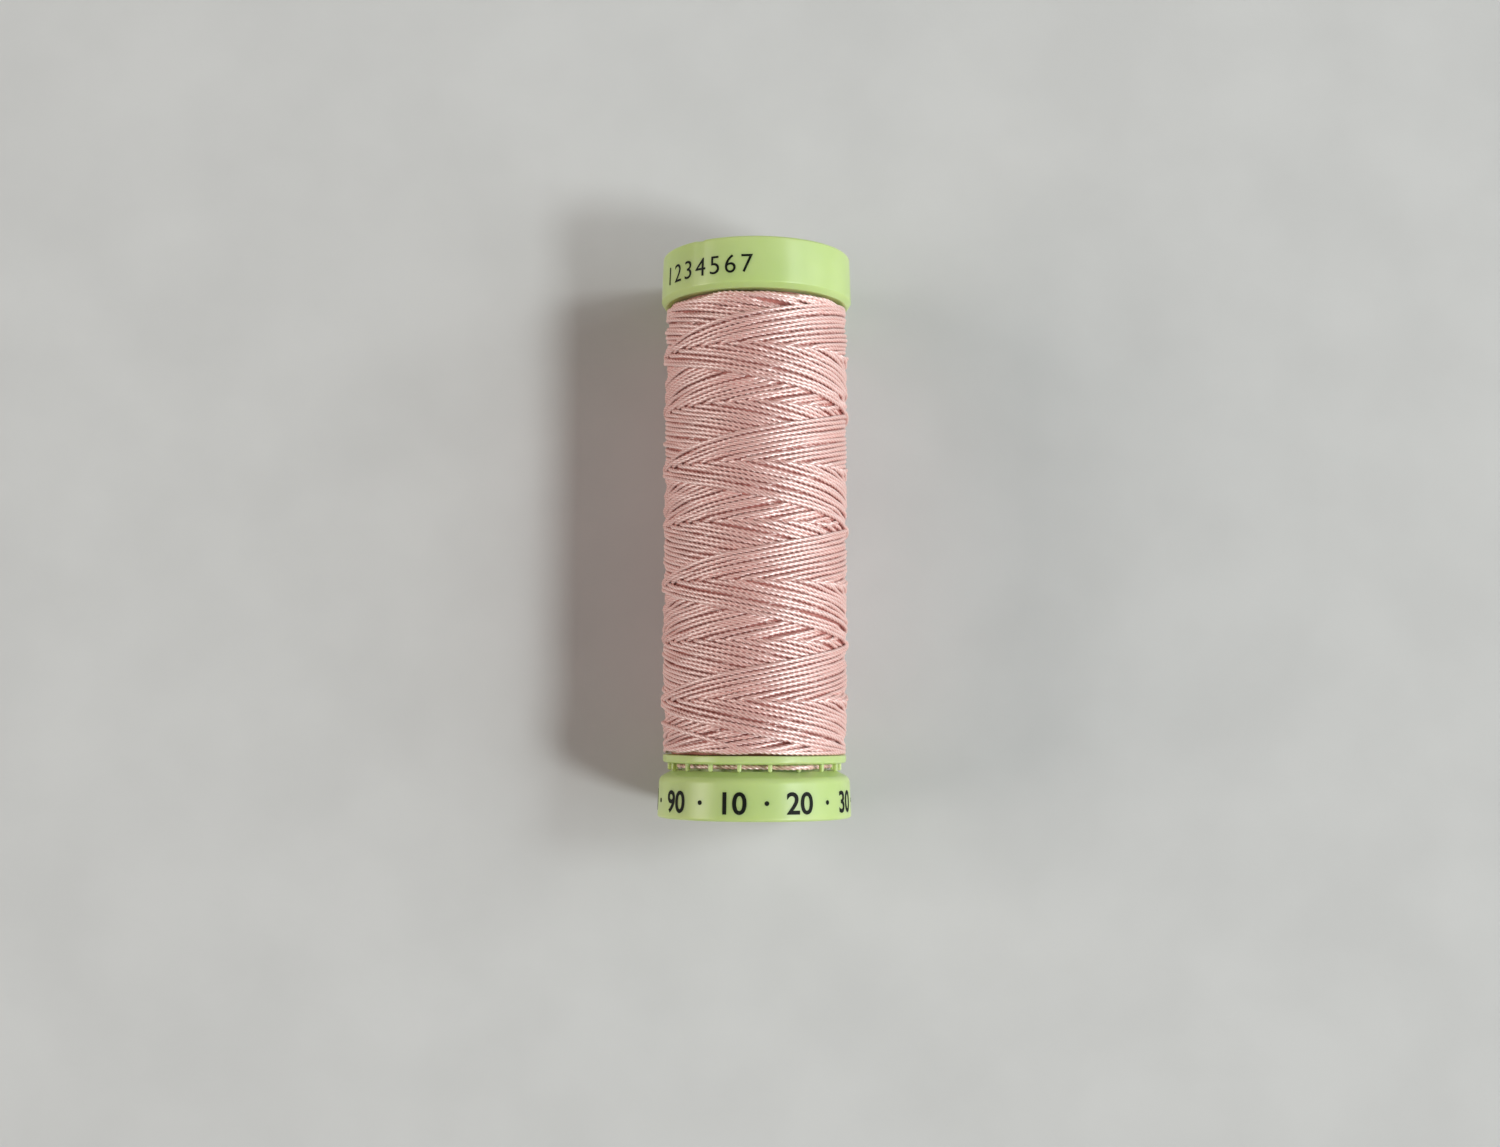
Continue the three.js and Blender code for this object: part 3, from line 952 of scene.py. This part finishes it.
def srgb(red, green, blue):
    """A colour as it is seen on screen, 0 to 255, to the linear values that a shader takes."""
    return tuple(c / 12.92 if c <= 0.04045 else ((c + 0.055) / 1.055) ** 2.4
                 for c in (red / 255, green / 255, blue / 255))


def grain_group():
    """Two sizes of noise: Height for a bump, and Mask from 0 to 1 for colour and roughness."""
    group = bpy.data.node_groups.new("fine_grain", "ShaderNodeTree")
    group.interface.new_socket("Vector", in_out="INPUT", socket_type="NodeSocketVector")
    group.interface.new_socket("Scale", in_out="INPUT", socket_type="NodeSocketFloat").default_value = 1000
    group.interface.new_socket("Height", in_out="OUTPUT", socket_type="NodeSocketFloat")
    group.interface.new_socket("Mask", in_out="OUTPUT", socket_type="NodeSocketFloat")
    inside = group.nodes.new("NodeGroupInput").outputs
    outside = group.nodes.new("NodeGroupOutput")
    fine = noise(group, inside["Vector"], inside["Scale"], 4.0, 0.6)
    broad = noise(group, inside["Vector"], calculate(group, "MULTIPLY", inside["Scale"], 0.13), 3.0)
    mask = add(group, "ShaderNodeMapRange", {"Value": broad, "From Min": 0.35, "From Max": 0.65})
    height = calculate(group, "MULTIPLY_ADD", broad, 0.5, fine)
    feed(group, outside, {"Height": height, "Mask": mask.outputs[0]})
    return group


grain = grain_group()


def grain_on(tree, scale):
    """The piece's own coordinates, and the outputs of the shared grain on them."""
    place = add(tree, "ShaderNodeTexCoord").outputs["Object"]
    node = add(tree, "ShaderNodeGroup", {"Vector": place, "Scale": scale}, node_tree=grain)
    return place, node.outputs


# %% [markdown]
# The plastic is a pale yellow-green polypropylene. It lets a little light in, so it has some subsurface
# scattering, and its gloss is broken by fine grain and a few soft smudges.

# %% Green plastic


def green_plastic():
    material, tree, shader = new_material("green_plastic")
    place, fine = grain_on(tree, 2500)
    colour = ramp(tree, noise(tree, place, 170.0, 2.0), [
        (0.3, srgb(185, 207, 131)), (0.55, srgb(190, 210, 137)), (0.75, srgb(194, 213, 143))])
    smudges = {"Value": noise(tree, place, 420.0, 3.0), "From Min": 0.35, "From Max": 0.7}
    rough = add(tree, "ShaderNodeMapRange", {**smudges, "To Min": 0.29, "To Max": 0.34})
    feed(tree, shader, {
        "Base Color": colour,
        "Roughness": rough.outputs[0],
        "Normal": bumps(tree, fine["Height"], 0.12, 0.00002),
        "Subsurface Weight": 0.6,
        "Subsurface Radius": (1.0, 1.0, 0.5),
        "Subsurface Scale": 0.002,
        "IOR": 1.49,
    })
    return material


green = green_plastic()

# %% [markdown]
# The thread is polyester: pink filaments with a silky gloss. The yarn's own UV map runs along it and round
# it. Fibres follow the twist, so the noise that makes them is stretched along a line that turns with the
# plies. The colour has painted shade and painted light: a darker, deeper pink in the valleys between the
# plies, for the shade and the light bounced from pink to pink there, and a paler pink on their crests.
# Filaments reflect light both from their surface and from inside, so the gloss is set stronger than a plain
# plastic's, and stretched across them.

# %% Pink thread
FIBRE_STRETCH = 0.22


def pink_thread():
    material, tree, shader = new_material("pink_thread")
    uv = add(tree, "ShaderNodeUVMap", uv_map="yarn")
    split = add(tree, "ShaderNodeSeparateXYZ", {"Vector": uv.outputs["UV"]}).outputs
    around = calculate(tree, "MULTIPLY", split["Y"], TURN)
    fibre_place = add(tree, "ShaderNodeCombineXYZ", {
        "X": calculate(tree, "COSINE", around),
        "Y": calculate(tree, "SINE", around),
        "Z": calculate(tree, "MULTIPLY", split["X"], FIBRE_STRETCH),
    })
    fibres = noise(tree, fibre_place.outputs[0], 8.0, 4.0, 0.7)
    ply = calculate(tree, "COSINE", calculate(tree, "MULTIPLY", around, float(PLIES)))
    # 1 on the ply crests, 0 in the valleys: it drives the bump and the painted shade and light of the colour
    ply_crest_and_painted_shade = add(tree, "ShaderNodeMapRange", {"Value": ply, "From Min": -1.0, "From Max": 0.6}).outputs[0]
    # painted shade and painted light: the ramp makes the ply valleys darker and the crests paler
    colour = ramp(tree, calculate(tree, "MULTIPLY_ADD", fibres, 0.5, ply_crest_and_painted_shade), [
        (0.1, srgb(208, 127, 118)), (0.6, srgb(247, 185, 174)), (1.0, srgb(255, 207, 198))])
    relief_height = calculate(tree, "MULTIPLY_ADD", fibres, 0.2, ply_crest_and_painted_shade)
    along = add(tree, "ShaderNodeTangent", direction_type="UV_MAP", uv_map="yarn")
    feed(tree, shader, {
        "Base Color": colour,
        "Normal": bumps(tree, relief_height, 0.6, 0.00004),
        "Tangent": along.outputs[0],
        "Roughness": 0.48,
        "Specular IOR Level": 1.0,
        "Anisotropic": 0.7,
        "Anisotropic Rotation": 0.25,
        "Sheen Weight": 0.1,
        "Sheen Roughness": 0.4,
        "Sheen Tint": (*srgb(255, 235, 228), 1),
        "IOR": 2.4,
    })
    return material


def package_thread():
    material, tree, shader = new_material("pink_package")
    place, fine = grain_on(tree, 3000)
    stretched = add(tree, "ShaderNodeMapping", {"Vector": place, "Scale": (1.0, 9.0, 1.0)})
    streaks = noise(tree, stretched.outputs[0], 500.0, 3.0)
    feed(tree, shader, {
        # painted shade: the base colour is a darker pink than the thread's, for the deep gaps it shows in
        "Base Color": ramp(tree, streaks, [(0.3, srgb(186, 116, 108)), (0.7, srgb(212, 146, 137))]),
        "Normal": bumps(tree, fine["Height"], 0.4, 0.00005),
        "Roughness": 0.6,
    })
    return material


thread = pink_thread()
inner_thread = package_thread()

# %% [markdown]
# Printing ink is nearly black, with a slight satin. It is worn thin in tiny spots, where the plastic shows
# through.

# %% Ink and paper


def black_ink():
    material, tree, shader = new_material("black_ink")
    place, fine = grain_on(tree, 4000)
    feed(tree, shader, {
        "Base Color": ramp(tree, fine["Height"], [
            (0.55, srgb(13, 16, 12)), (0.95, srgb(22, 27, 19)), (1.0, srgb(70, 84, 54))]),
        "Normal": bumps(tree, fine["Height"], 0.2, 0.00001),
        "Roughness": 0.6,
        "Specular IOR Level": 0.15,
    })
    return material


RING_BAND, TICK_BAND = (0.0077, 0.0080), (0.0066, 0.0074)
TICKS = 12.0


def label_paper():
    """Pale coated paper. A green ring and ticks are drawn from the distance and angle round the axis."""
    material, tree, shader = new_material("label_paper")
    place, fine = grain_on(tree, 2200)
    centred = add(tree, "ShaderNodeMapping", {"Vector": place, "Location": (0, 0, -AXIS_Z)})
    split = add(tree, "ShaderNodeSeparateXYZ", {"Vector": centred.outputs[0]}).outputs
    flat = add(tree, "ShaderNodeCombineXYZ", {"X": split["X"], "Y": split["Z"]})
    distance = add(tree, "ShaderNodeVectorMath", {0: flat.outputs[0]}, operation="LENGTH").outputs["Value"]
    angle = calculate(tree, "ARCTAN2", split["Z"], split["X"])

    def between(low, high):
        above = calculate(tree, "GREATER_THAN", distance, low)
        return calculate(tree, "MULTIPLY", above, calculate(tree, "LESS_THAN", distance, high))

    waves = calculate(tree, "COSINE", calculate(tree, "MULTIPLY", angle, TICKS))
    ticks = calculate(tree, "MULTIPLY", calculate(tree, "GREATER_THAN", waves, 0.96), between(*TICK_BAND))
    printed = calculate(tree, "MAXIMUM", between(*RING_BAND), ticks)
    blank = ramp(tree, fine["Mask"], [(0.0, srgb(233, 231, 222)), (1.0, srgb(243, 242, 235))])
    colours = {"Factor": printed, 6: blank, 7: (*srgb(120, 150, 84), 1)}
    mix = add(tree, "ShaderNodeMix", colours, data_type="RGBA")
    feed(tree, shader, {
        "Base Color": mix.outputs[2],
        "Normal": bumps(tree, fine["Height"], 0.3, 0.00002),
        "Roughness": 0.7,
    })
    return material


ink = black_ink()
paper = label_paper()

# %% [markdown]
# ## Each piece gets its finish, its body and its node
#
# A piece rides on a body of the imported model, so it moves when the joint moves, and it stands for the plain
# node whose place it takes.

# %% Dress the model


def finish_piece(piece, material, body, slot, *nodes):
    piece.data.materials.clear()
    piece.data.materials.append(material)
    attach(piece, body)
    if nodes:
        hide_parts(*nodes)


finish_piece(snap_cap, green, "base", "green_plastic", "snap_cap")
finish_piece(base_print, ink, "base", "green_plastic")
finish_piece(base_label, paper, "base", "label_paper", "base_label")
finish_piece(top_cap, green, "spool", "green_plastic", "top_cap")
finish_piece(top_print, ink, "spool", "green_plastic")
finish_piece(top_label, paper, "spool", "label_paper", "top_label")
finish_piece(bobbin, green, "spool", "green_plastic", "spool_core")
finish_piece(teeth, green, "spool", "green_plastic", "spool_core")
finish_piece(package, inner_thread, "spool", "pink_thread", "thread_package")
finish_piece(tail, thread, "spool", "pink_thread", "thread_tail")
for piece in winding_pieces:
    finish_piece(piece, thread, "spool", "pink_thread", "thread_winding")

# %% [markdown]
# ## Floor and light
#
# The photograph was taken on pale paper by soft daylight from the right. Two panes of a window give the
# shadow its two steps. A large low window beside them gives the caps and the thread their wide gloss, a
# warm wall on the left gives the fainter gloss there, and an even, slightly warm sky fills the shadows. The
# sky is pale where the camera sees it.

# %% Floor and light
FLOOR = 1.5


def floor():
    mesh = bpy.data.meshes.new("floor")
    corners = [(-FLOOR, -FLOOR, 0), (FLOOR, -FLOOR, 0), (FLOOR, FLOOR, 0), (-FLOOR, FLOOR, 0)]
    mesh.from_pydata(corners, [], [(0, 1, 2, 3)])
    plane = placed("floor", mesh)
    material, tree, shader = new_material("floor_paper")
    place, fine = grain_on(tree, 500)
    feed(tree, shader, {
        "Base Color": ramp(tree, fine["Mask"], [(0.0, srgb(200, 199, 198)), (1.0, srgb(205, 204, 203))]),
        "Normal": bumps(tree, fine["Height"], 0.25, 0.0001),
        "Roughness": 0.9,
        "Specular IOR Level": 0.2,
    })
    mesh.materials.append(material)


def lamp(name, lean, turn, distance, across, along, energy, colour):
    """An area lamp aimed at the spool. It leans from the vertical towards +X, and is turned from there
    towards +Y, both in degrees."""
    lean, turn = math.radians(lean), math.radians(turn)
    away = Vector((math.sin(lean) * math.cos(turn), math.sin(lean) * math.sin(turn), math.cos(lean)))
    data = bpy.data.lights.new(name, "AREA")
    data.shape = "RECTANGLE"
    data.size, data.size_y = across, along
    data.energy = energy
    data.color = colour
    piece = placed(name, data)
    piece.location = Vector((0, 0, AXIS_Z)) + away * distance
    piece.rotation_mode = "QUATERNION"
    sideways = Vector((0, 1, 0)).cross(away).normalized()
    upward = away.cross(sideways)
    piece.rotation_quaternion = Matrix((sideways, upward, away)).transposed().to_quaternion()


SKY_LIGHT = 0.17
SEEN_BY_CAMERA = 0.5


def sky():
    """An even sky that lights weakly and looks pale to the camera."""
    world = bpy.data.worlds.new("sky")
    world.use_nodes = True
    tree = world.node_tree
    camera_ray = add(tree, "ShaderNodeLightPath").outputs["Is Camera Ray"]
    feed(tree, tree.nodes["Background"], {
        "Color": (1.0, 0.93, 0.87, 1),
        "Strength": calculate(tree, "MULTIPLY_ADD", camera_ray, SEEN_BY_CAMERA, SKY_LIGHT),
    })
    bpy.context.scene.world = world


COOL = (0.93, 1.0, 1.0)
WARM = (1.0, 0.92, 0.86)
floor()
lamp("front_pane", 45.4, -27, 2.0, 0.33, 0.33, 14.1, COOL)
lamp("back_pane", 45.4, 11.5, 2.0, 0.33, 0.33, 7.7, COOL)
lamp("low_window", 62, 0, 1.5, 1.35, 1.5, 14.8, COOL)
lamp("left_wall", -66, 0, 1.5, 0.6, 1.0, 11.0, WARM)
sky()
bpy.context.scene.view_settings.view_transform = "Standard"
